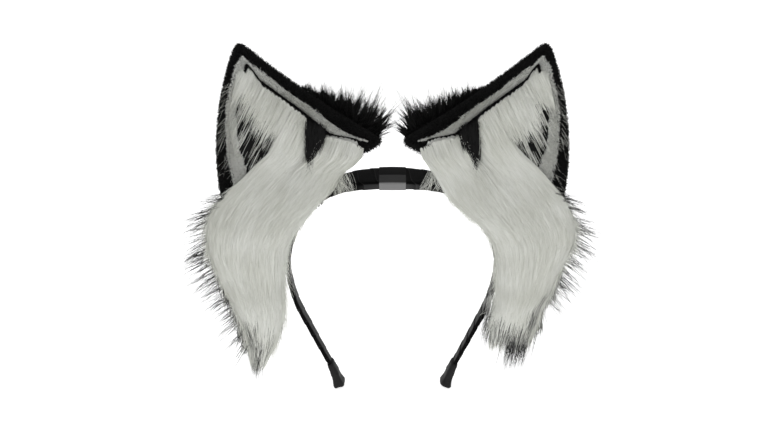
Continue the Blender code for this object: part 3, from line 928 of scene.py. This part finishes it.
def make_backing(side):
    """Knit cloth that the lock's fur grows from: one layer, hung from the felt anchor."""
    levels = np.linspace(BACKING_TOP, BACKING_END[side], 41)
    inner, outer = fur_edges(side, levels)
    middle = (inner + outer) / 2
    width = np.minimum(BACKING_WIDTH, np.maximum(outer - inner - 2 * BACKING_MARGIN, 8))
    across = np.linspace(-0.5, 0.5, 19)
    x = middle[:, None] + width[:, None] * across
    z = np.repeat(levels[:, None], len(across), axis=1)
    ripple = 0.3 * np.sin(x * 0.5) * smooth(BACKING_TOP, BACKING_END[side], z)
    vertices = np.stack((x, BACKING_Y + ripple, z), axis=-1).reshape(-1, 3)
    faces = grid_faces(len(levels), len(across), close=False)
    uv = np.full((len(vertices), 2), 0.5)
    obj = side_mesh("lock_knit_backing", side, vertices, faces, uv)
    finish(obj, "knit", "knit_backing", f"lock_{side}", [f"lock_backing_{side}"])


def lock_roots(side, rng, count, top, bottom):
    z = rng.uniform(bottom, top, count)
    inner, outer = fur_edges(side, z)
    q = rng.uniform(-1, 1, count)
    q = np.sign(q) * np.abs(q) ** 0.85
    return np.stack(((inner + outer) / 2 + q * (outer - inner) / 2, z), axis=1)


def make_mantle(side, rng):
    """White fur that starts round the ear's base and hangs as the lock's upper part."""
    roots = lock_roots(side, rng, 13500, 4, -44)
    lengths = rng.uniform(20, 40, len(roots))
    paths, facing = combed(side, rng, roots, lengths, (0.2, 2.4), 0.05, 0.5, 3.6, points=8, fly=0.5)
    widths = rng.uniform(0.22, 0.38, len(roots))
    add_strands("lock_upper_fur", side, rng, paths, facing, widths, WHITE, hanging(side))


def make_lock_fur(side, rng):
    """White fur of the lock, which ends in loose pointed clumps."""
    bottom = WHITE_END[side]
    roots = lock_roots(side, rng, 13500, -36, bottom)
    low = smooth(bottom + 55, bottom, roots[:, 1])
    lengths = rng.uniform(16, 36, len(roots)) * (1 - 0.1 * low)
    paths, facing = combed(side, rng, roots, lengths, (0.1, 2.0), 0.08, 0.62, 3.6, points=8, fly=1.2)
    widths = rng.uniform(0.2, 0.36, len(roots))
    add_strands("lock_lower_fur", side, rng, paths, facing, widths, WHITE, f"lock_{side}", tip=0.08)


DARK_TIPS = {  # (x, z) of each spot, its size, and the number and length of its strands
    "left": [
        ((89, -102), 7, 170, 32), ((99, -84), 6, 150, 28), ((94, -96), 7, 150, 30),
        ((80, -94), 5, 70, 26),
    ],
    "right": [
        ((69, -80), 5, 220, 31), ((84, -82), 5, 260, 43), ((91, -84), 5, 250, 42),
        ((99, -72), 3.5, 240, 30), ((105.5, -58), 3, 130, 26), ((77, -84), 6, 110, 28),
    ],
}


def make_dark_tips(side, rng):
    """Strands with dark tips at the lock's lower edge: many on the right, few on the left."""
    roots, lengths = [], []
    for centre, size, count, length in DARK_TIPS[side]:
        roots.append(np.array(centre) + rng.normal(0, size * 0.6, (count, 2)))
        lengths.append(length * rng.uniform(0.7, 1.2, count))
    roots, lengths = np.vstack(roots), np.concatenate(lengths)
    paths, facing = combed(side, rng, roots, lengths, (1.0, 2.2), 0.09, 0.5, 2.6, points=8, fly=1.2)
    widths = rng.uniform(0.2, 0.34, len(roots))
    look = "dark_tips", "black_fur"
    add_strands("lock_dark_tips", side, rng, paths, facing, widths, look, f"lock_{side}", tip=0.1)


def make_loose_hairs(side, rng):
    """Thin pale hairs that stand off the lock's edges and hang over the ends of the crown."""
    count = 1500
    z = rng.uniform(LOOSE_END[side], 4, count)
    inner, outer = fur_edges(side, z)
    inward = rng.uniform(0, 1, count) < 0.55
    x = np.where(inward, inner + rng.uniform(0, 3, count), outer - rng.uniform(0, 3, count))
    flow = fur_flow(side, x, z)
    spread = rng.gamma(2.0, 0.1, count) * np.where(inward, -1, 1)
    direction = np.stack((flow[:, 0] + spread, rng.normal(-0.04, 0.1, count), flow[:, 1]), axis=1)
    root = fur_place(side, x, z, 0.2)
    wisps = 80 if side == "left" else 50
    bunch = rng.integers(0, 9, wisps)
    place = rng.uniform(0, 1, 9)[bunch] + rng.normal(0, 0.03, wisps)
    level = 13 - 11 * place + rng.normal(0, 0.7, wisps)
    start = fur_edges(side, level)[0] + rng.uniform(0.3, 2.0, wisps)
    wisp_root = fur_place(side, start, level, 0.2)
    # They come forward over the crown's top, past its front edge, and hang there.
    angle = np.radians(rng.normal(-20, 20, 9)[bunch] + rng.normal(0, 12, wisps))
    over = np.stack((start - rng.uniform(0, 5, wisps), rng.normal(-15, 0.5, wisps), level - 1), axis=1)
    downward = np.stack((np.sin(angle), rng.normal(0, 0.05, wisps), -np.cos(angle)), axis=1)
    end = over + downward * rng.uniform(6, 15, wisps)[:, None]
    t = np.linspace(0, 1, 6)[None, :, None]
    draped = wisp_root[:, None] * (1 - t) ** 2 + over[:, None] * 2 * t * (1 - t) + end[:, None] * t**2
    paths = curved(root, unit(direction), rng.uniform(8, 20, count), rng.normal(0, 0.1, (count, 3)), 6)
    paths = np.vstack((paths, draped))
    count += wisps
    facing = facing_about(rng, np.array((0, -1.0, 0.3)), 0.4, count, 6)
    widths = rng.uniform(0.1, 0.18, count)
    body = hanging(side)
    add_strands("lock_loose_hairs", side, rng, paths, facing, widths, WHITE, body, tip=0.3)


def make_rear_fur(side, rng):
    """Black fur behind the lock, combed down."""
    count = 7500
    z = rng.uniform(REAR_END[side], -6, count)
    inner, outer = fur_edges(side, z)
    q = rng.uniform(-0.96, 1.0, count)
    x = (inner + outer) / 2 + q * ((outer - inner) / 2 - 1.5)
    y = -14.0 + rear_depth(z) * np.sqrt(1 - q * q)
    root = np.stack((x, y, z), axis=1)
    flow = fur_flow(side, x, z)
    outward = flow[:, 0] + 0.15 * q + 0.5 * np.maximum(q, 0) ** 2 * smooth(-30, -60, z)
    direction = unit(np.stack((outward, np.full(count, 0.16), flow[:, 1]), axis=1))
    direction = unit(direction + rng.normal(0, 0.07, root.shape))
    bend = np.stack((-0.25 * q, np.full(count, -0.12), np.zeros(count)), axis=1)
    paths = curved(root, direction, rng.uniform(13, 24, count), bend, 6)
    facing = facing_about(rng, np.array((0, 1.0, 0)), 0.4, count, 6)
    widths = rng.uniform(0.4, 0.6, count)
    body = hanging(side)
    add_strands("lock_rear_pile", side, rng, paths, facing, widths, BLACK, body, tip=0.08)


GUARD_SLOPES = {  # levels, and the degrees below level at which the hairs stand out there
    "left": ((-114, -98, -80, -55, -20, 5), (58, 44, 34, 27, 18, 6)),
    "right": ((-80, -55, -20, 5), (52, 36, 20, 6)),
}


def make_guard_hairs(side, rng):
    """Long thin black hairs that stand out sideways from the lock's outer edge, in small pointed groups."""
    groups = 250 if side == "left" else 150
    z = np.sort(rng.uniform(GUARD_END[side], 0, groups))
    _, outer = fur_edges(side, z)
    start = np.stack((outer - rng.uniform(1, 4.5, groups), rng.uniform(-16, -9, groups), z), axis=1)
    below = np.radians(np.interp(z, *GUARD_SLOPES[side]) + rng.normal(0, 6, groups))
    way = unit(np.stack((np.cos(below), rng.normal(0.02, 0.16, groups), -np.sin(below)), axis=1))
    reach = np.interp(z, [-112, -60, -20, 5], [25, 27, 24, 19]) * rng.uniform(0.5, 1.2, groups)
    each = 3
    count = groups * each
    start, way, reach = (np.repeat(a, each, axis=0) for a in (start, way, reach))
    offset = rng.normal(0, 1, (count, 3)) * np.array((0.8, 1.2, 0.45))
    lengths = reach * rng.uniform(0.6, 1.0, count)
    loose = rng.uniform(0, 1, count) < 0.25
    bend = np.stack((np.zeros(count), rng.normal(0, 0.04, count), rng.normal(-0.08, 0.05, count)), axis=1)
    bend += rng.normal(0, 0.12, (count, 3)) * loose[:, None]
    paths = curved(start, way, lengths, bend, 6, 0.1, rng)
    t = np.linspace(0, 1, 6)[None, :, None]
    paths = paths + offset[:, None] * (1 - 0.9 * t * np.where(loose, 0.2, 1)[:, None, None])
    paths[..., 0] = np.minimum(paths[..., 0], 136)
    facing = facing_about(rng, np.array((0, -1.0, 0.2)), 0.5, count, 6)
    widths = rng.uniform(0.17, 0.28, count)
    body = hanging(side)
    add_strands("lock_guard_hairs", side, rng, paths, facing, widths, BLACK, body, tip=0.4)


# ---------------------------------------------------------------- hoop


def hoop_line():
    """Points (x, z) along the right half of the hoop, and their distances from the crown's middle."""
    points = np.array(HOOP_POINTS, float)
    ends = np.vstack(((-points[1, 0], points[1, 1]), points, 2 * points[-1] - points[-2]))
    t = np.linspace(0, 1, 40, endpoint=False)[:, None]
    line = []
    for a, b, c, d in zip(ends, ends[1:], ends[2:], ends[3:]):
        square, cube = 2 * a - 5 * b + 4 * c - d, 3 * b - a - 3 * c + d
        line.append(0.5 * (2 * b + (c - a) * t + square * t**2 + cube * t**3))
    line = np.vstack((*line, points[-1:]))
    arc = np.concatenate(([0], np.cumsum(np.linalg.norm(np.diff(line, axis=0), axis=1))))
    return line, arc


HOOP_LINE, HOOP_ARC = hoop_line()
HALF_LENGTH = HOOP_ARC[-1]


def hoop_point(s, around, grow, corners=(0.42, 0.55)):
    """Place on a rounded strip round the hoop. around is 0 to 1, from the underside's middle by the front."""
    side = np.where(s < 0, -1.0, 1.0)
    distance = np.minimum(np.abs(s), HALF_LENGTH)
    extra = np.abs(s) - distance

    def at(value):
        return np.stack([np.interp(value, HOOP_ARC, HOOP_LINE[:, k]) for k in (0, 1)], axis=-1)

    middle = at(distance)
    ahead = unit(at(np.minimum(distance + 0.8, HALF_LENGTH)) - at(np.abs(distance - 0.8)))
    ahead = np.where((distance < 0.8)[..., None], np.array((1.0, 0.0)), ahead)
    width = HOOP_WIDTHS[0] + (HOOP_WIDTHS[1] - HOOP_WIDTHS[0]) * distance / HALF_LENGTH + 2 * grow
    thick = HOOP_THICK + 2 * grow
    # A rounded rectangle, by a superellipse.
    angle = around * 2 * math.pi
    c, d = np.sin(angle), -np.cos(angle)
    y = -np.sign(c) * np.abs(c) ** corners[0] * width / 2
    out = np.sign(d) * np.abs(d) ** corners[1] * thick / 2
    x = middle[..., 0] + ahead[..., 0] * extra - ahead[..., 1] * out
    z = middle[..., 1] + ahead[..., 1] * extra + ahead[..., 0] * out
    return np.stack((side * x, y, z), axis=-1)


def make_wrap(name, start, end, node, body):
    """Satin ribbon wound round the strip in slanting overlapping turns."""
    pitch, slant, columns = 11.0, 8.0, 40
    around = np.linspace(0, 1, columns, endpoint=False)
    skew = slant * np.sin(around * 2 * math.pi) * 0.5
    rows, tones, lows = [], [], []
    first, last = math.floor(start / pitch) - 1, math.ceil(end / pitch) + 1
    for turn in range(first, last + 1):
        for part in (0.0, 0.03, 0.1, 0.3, 0.55, 0.8, 0.96):
            s = np.clip((turn + part) * pitch + skew, start, end)
            height = 0.3 + 0.3 * (1 - part) - 0.08 * (part < 0.02)
            fuller = 1.25 * (1 - smooth(12, 62, np.abs(s)))
            rows.append(hoop_point(s, around, height + fuller, (0.3, 0.4)))
            lows.append(np.full(columns, part))
            tones.append(around)
    vertices = np.vstack(rows)
    faces = grid_faces(len(rows), columns)
    a, b, c, d = (vertices[faces[:, k]] for k in range(4))
    area = np.linalg.norm(np.cross(c - a, d - b), axis=1)
    # U runs round the strip, and V runs across each turn from its lap edge, where the satin's painted
    # highlight lies.
    uv = np.stack((np.concatenate(tones), np.concatenate(lows)), axis=1)
    obj = link_mesh(name, vertices, faces[area > 1e-4], uv)
    finish(obj, "satin", "satin_ribbon", body, [node])


def over_bend(side):
    """The crown and the leg, and points at the two ends of the ribbon's bend, for a piece that spans the two.
    """
    ends = (LEG_SPLIT - BEND_REACH, LEG_SPLIT + BEND_REACH)
    (x0, z0), (x1, z1) = ([np.interp(at, HOOP_ARC, HOOP_LINE[:, k]) * MM for k in (0, 1)] for at in ends)
    return "crown", f"leg_{side}", (SIGN[side] * x0, 0, z0), (SIGN[side] * x1, 0, z1)


def satin():
    made = Material("satin_ribbon", 0.38, 0.02)
    _, part = made.uv()
    threads = made.noise(made.coordinates((1, 60, 60)), 42.0, 2.0)
    # Painted highlight: each turn's lap edge is painted lighter, as thin light lines across the winding.
    black_with_painted_edge_highlights = made.ramp(part, (0.0, grey(0.03)), (0.06, grey(0.005)), (1.0, grey(0.003)))
    # Painted highlight: the ribbon's front edge is painted lighter, as the lamps' reflection there.
    split = made.node("ShaderNodeSeparateXYZ", Vector=made.coordinates((1, 40, 1)))
    front = made.node("ShaderNodeMapRange", Value=split.outputs[1], From_Min=-0.445, From_Max=-0.475)
    black_with_painted_edge_highlights = made.mix("MIX", front.outputs[0], black_with_painted_edge_highlights, grey(0.05))
    patches = made.ramp(made.noise(made.coordinates(), 55.0, 4.0), (0.3, grey(0.6)), (0.7, grey(1.0)))
    made.link(made.mix("MULTIPLY", 1.0, black_with_painted_edge_highlights, patches), "Base Color")
    made.link(made.ramp(threads, (0.3, grey(0.27)), (0.7, grey(0.46))), "Roughness")
    made.bump(threads, 0.25, 0.0002)
    return made.material


def glossy_tape():
    made = Material("glossy_tape", 0.14, 0.03)
    smudge = made.noise(made.coordinates(), 60.0, 4.0)
    dark = made.ramp(smudge, (0.3, grey(0.001)), (0.7, grey(0.003)))
    split = made.node("ShaderNodeSeparateXYZ", Vector=made.coordinates((1, 40, 1)))
    # Painted reflection of the lamps: the top's front half, past the crease, is painted lighter.
    half = made.node("ShaderNodeMapRange", Value=split.outputs[1], From_Min=-0.03, From_Max=-0.06)
    # Painted reflection of the lamps: the rounded front edge is painted lighter still.
    front = made.node("ShaderNodeMapRange", Value=split.outputs[1], From_Min=-0.43, From_Max=-0.47)
    black_with_painted_half_highlight = made.mix("MIX", half.outputs[0], dark, grey(0.04))
    made.link(made.mix("MIX", front.outputs[0], black_with_painted_half_highlight, grey(0.19)), "Base Color")
    made.link(made.ramp(smudge, (0.3, grey(0.09)), (0.75, grey(0.2))), "Roughness")
    made.bump(made.noise(made.coordinates((1, 3, 1)), 140.0, 2.0), 0.08, 0.0003)
    return made.material


def grained(name, look, grain, shades, roughs, bump=None, stretch=(1, 1, 1), metallic=0.0):
    """A plain material whose shade and gloss follow one fine noise. look is roughness, specular and sheen."""
    made = Material(name, *look)
    made.set("Metallic", metallic)
    noise = made.noise(made.coordinates(stretch), *grain)
    for socket, (low, high) in (("Base Color", shades), ("Roughness", roughs)):
        made.link(made.ramp(noise, (0.3, grey(low)), (0.7, grey(high))), socket)
    if bump:
        made.bump(noise, *bump)
    return made.material


def knit():
    made = Material("knit", 0.92, 0.15, 0.2)
    wave = made.node("ShaderNodeTexWave", Vector=made.coordinates(), Scale=380.0, Distortion=1.5)
    made.link(made.ramp(wave.outputs[0], (0.2, grey(0.3)), (0.8, grey(0.5, 0.02))), "Base Color")
    made.link(made.ramp(wave.outputs[0], (0.2, grey(0.96)), (0.8, grey(0.86))), "Roughness")
    made.bump(wave.outputs[0], 0.5, 0.0004)
    return made.material


MATERIALS.update(
    satin=satin(),
    tape=glossy_tape(),
    rubber=grained("rubber", (0.55, 0.15), (420.0, 4.0), (0.006, 0.013), (0.48, 0.66), (0.2, 0.0003)),
    felt=grained("felt", (0.95, 0.15, 0.3), (900.0, 6.0, 0.65), (0.01, 0.035), (0.85, 1.0), (0.6, 0.0005)),
    knit=knit(),
    plastic=grained("hoop_plastic", (0.42, 0.5), (300.0, 3.0), (0.016, 0.026), (0.36, 0.5)),
    steel=grained("steel_wire", (0.3,), (260.0, 3.0), (0.34, 0.5), (0.24, 0.4), None, (1, 1, 12), 1.0),
)


def make_centre_wrap():
    """Glossy tape round the crown's middle, with one crease along it and small folds at its ends."""
    columns = 48
    around = np.linspace(0, 1, columns, endpoint=False)
    rows = []
    for s in (-8.5, -8.5, -8.3, -7.5, -4, 0, 4, 7.5, 8.3, 8.5, 8.5):
        rows.append(hoop_point(np.full(columns, float(s)), around, 1.95, (0.22, 0.25)))
    rows[0] = hoop_point(np.full(columns, -8.5), around, 1.2)
    rows[-1] = hoop_point(np.full(columns, 8.5), around, 1.2)
    vertices = np.vstack(rows)
    top = vertices[:, 2] > 3.4
    vertices[top, 2] += 0.3 * (1 - np.abs(vertices[top, 1]) / 12)
    obj = link_mesh("centre_tape", vertices, grid_faces(len(rows), columns))
    finish(obj, "tape", "glossy_tape", "crown", ["centre_wrap"])


def make_tip(side):
    """Rubbery sleeve on the leg's end: a snug neck, a wrinkled body and a flared mouth."""
    profile = [
        (-17, 0.6), (-16.6, 1.15), (-15, 1.4), (-12, 1.5), (-9, 1.9), (-6, 1.75), (-3, 2.1), (-1, 2.6),
        (0.8, 3.0), (1.5, 2.9), (1.6, 1.0),
    ]
    columns = 28
    around = np.linspace(0, 1, columns, endpoint=False)
    rows = []
    for step, grow in profile:
        ring = hoop_point(np.full(columns, HALF_LENGTH + step), around, grow)
        ring = ring + wobble(ring, 2.6, 41 if side == "left" else 47)[:, None] * np.array((0.16, 0.3, 0.1))
        rows.append(ring)
    rows.append(np.repeat(rows[-1].mean(0, keepdims=True), columns, axis=0))
    vertices = np.vstack(rows)
    uv = np.full((len(vertices), 2), 0.5)
    faces = grid_faces(len(rows), columns)
    obj = side_mesh("tip_sleeve_rubber", side, vertices, faces, uv)
    finish(obj, "rubber", "rubber", f"leg_{side}", [f"tip_sleeve_{side}"])


# ---------------------------------------------------------------- small sewn parts


def soft_block(name, node, material, slot, body, bevel, bumps):
    """A rounded, slightly uneven piece in place of a CAD block."""
    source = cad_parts[node]
    mesh = source.data.copy()
    mesh.name = name
    obj = bpy.data.objects.new(name, mesh)
    obj.matrix_world = source.matrix_world.copy()
    bpy.context.scene.collection.objects.link(obj)
    obj.data.materials.clear()
    rounding = obj.modifiers.new("Bevel", "BEVEL")
    rounding.width = bevel
    rounding.segments = 3
    rounding.limit_method = "ANGLE"
    finer = obj.modifiers.new("Subdivision", "SUBSURF")
    finer.subdivision_type = "CATMULL_CLARK"
    finer.levels = finer.render_levels = 2
    depsgraph = bpy.context.evaluated_depsgraph_get()
    made = bpy.data.meshes.new_from_object(obj.evaluated_get(depsgraph))
    obj.modifiers.clear()
    obj.data = made
    points = np.empty(len(made.vertices) * 3, np.float32)
    made.vertices.foreach_get("co", points)
    points = points.reshape(-1, 3)
    points += (wobble(points / MM, 4.0, 5)[:, None] * bumps * MM).astype(np.float32)
    made.vertices.foreach_set("co", points.ravel())
    made.update()
    made.shade_smooth()
    finish(obj, material, slot, body, [node])


def make_side(side):
    rng = np.random.default_rng(100 if side == "left" else 200)
    make_ear_body(side)
    make_edging(side, rng)
    make_band(side, rng)
    make_seam_and_shadow(side, rng)
    make_lining(side)
    make_inner_fur(side, rng)
    make_mantle_top(side, rng)
    make_wedge(side, rng)
    make_stray_hairs(side, rng)
    make_tuft(side, rng)
    make_back_fur(side, rng)
    make_lock_bodies(side)
    make_backing(side)
    make_mantle(side, rng)
    make_lock_fur(side, rng)
    make_dark_tips(side, rng)
    make_loose_hairs(side, rng)
    make_rear_fur(side, rng)
    make_guard_hairs(side, rng)
    make_tip(side)
    soft_block(f"ear_felt_pad_{side}", f"ear_base_pad_{side}", "felt", "felt", "crown", 0.0013, 0.2)
    soft_block(f"ear_ribbon_strap_{side}", f"ear_strap_{side}", "satin", "satin_ribbon", "crown", 0.0003, 0.1)
    soft_block(f"lock_felt_anchor_{side}", f"lock_anchor_{side}", "felt", "felt", "crown", 0.0013, 0.2)


# ---------------------------------------------------------------- studio


CAMERA_ELEVATION = 28  # degrees above the horizon
CAMERA_DISTANCE = 1.2
CAMERA_AIM = (-0.0016, 0, -0.027)


def make_studio():
    floor = bpy.data.meshes.new("floor")
    size = 6.0
    z = cad_box[0][2] - 0.001
    corners = [(-size, -size, z), (size, -size, z), (size, size, z), (-size, size, z)]
    floor.from_pydata(corners, [], [(0, 1, 2, 3)])
    obj = bpy.data.objects.new("floor", floor)
    bpy.context.scene.collection.objects.link(obj)
    made = Material("floor", 0.9, 0.1)
    shade = made.noise(made.coordinates(), 1.5)
    made.link(made.ramp(shade, (0.0, grey(0.93)), (1.0, grey(0.95))), "Base Color")
    made.set("Emission Color", (1, 1, 1, 1))
    made.set("Emission Strength", 0.7)
    obj.data.materials.append(made.material)

    world = bpy.data.worlds.new("studio")
    bpy.context.scene.world = world
    world.use_nodes = True
    background = world.node_tree.nodes["Background"]
    background.inputs[0].default_value = (1, 1, 1, 1)
    background.inputs[1].default_value = 0.45

    def area(name, place, aim, size_x, size_y, power):
        data = bpy.data.lights.new(name, "AREA")
        data.shape = "RECTANGLE"
        data.size, data.size_y = size_x, size_y
        data.energy = power
        light = bpy.data.objects.new(name, data)
        light.location = place
        light.rotation_euler = (Vector(aim) - Vector(place)).to_track_quat("-Z", "Y").to_euler()
        bpy.context.scene.collection.objects.link(light)

    area("key", (-0.7, -1.0, 1.3), (0, 0, 0), 1.0, 1.0, 8)
    area("fill", (0.9, -0.9, 0.8), (0, 0, 0), 0.9, 0.9, 3.5)
    area("top", (0.0, 0.4, 1.5), (0, 0, 0), 1.4, 1.0, 4.5)

    data = bpy.data.cameras.new("camera")
    data.sensor_width = 36
    data.lens = 85
    camera = bpy.data.objects.new("camera", data)
    elevation, distance = math.radians(CAMERA_ELEVATION), CAMERA_DISTANCE
    aim = Vector(CAMERA_AIM)
    camera.location = aim + Vector((0, -math.cos(elevation), math.sin(elevation))) * distance
    camera.rotation_euler = (math.pi / 2 - elevation, 0, 0)
    bpy.context.scene.collection.objects.link(camera)
    bpy.context.scene.camera = camera
    bpy.context.scene.view_settings.view_transform = "Standard"


make_studio()
crown_end = LEG_SPLIT - BEND_REACH
make_wrap("ribbon_winding_crown", -crown_end, crown_end, "ribbon_wrap_crown", "crown")
for side in SIGN:
    spans = (crown_end, HALF_LENGTH) if side == "right" else (-HALF_LENGTH, -crown_end)
    make_wrap(f"ribbon_winding_leg_{side}", *spans, f"ribbon_wrap_leg_{side}", over_bend(side))
make_centre_wrap()
for side in SIGN:
    make_side(side)

for name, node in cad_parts.items():
    if node.hide_render:
        continue
    kind = "plastic" if name.startswith("hoop") else "steel"
    for place in range(len(node.material_slots)):
        node.material_slots[place].material = MATERIALS[kind]
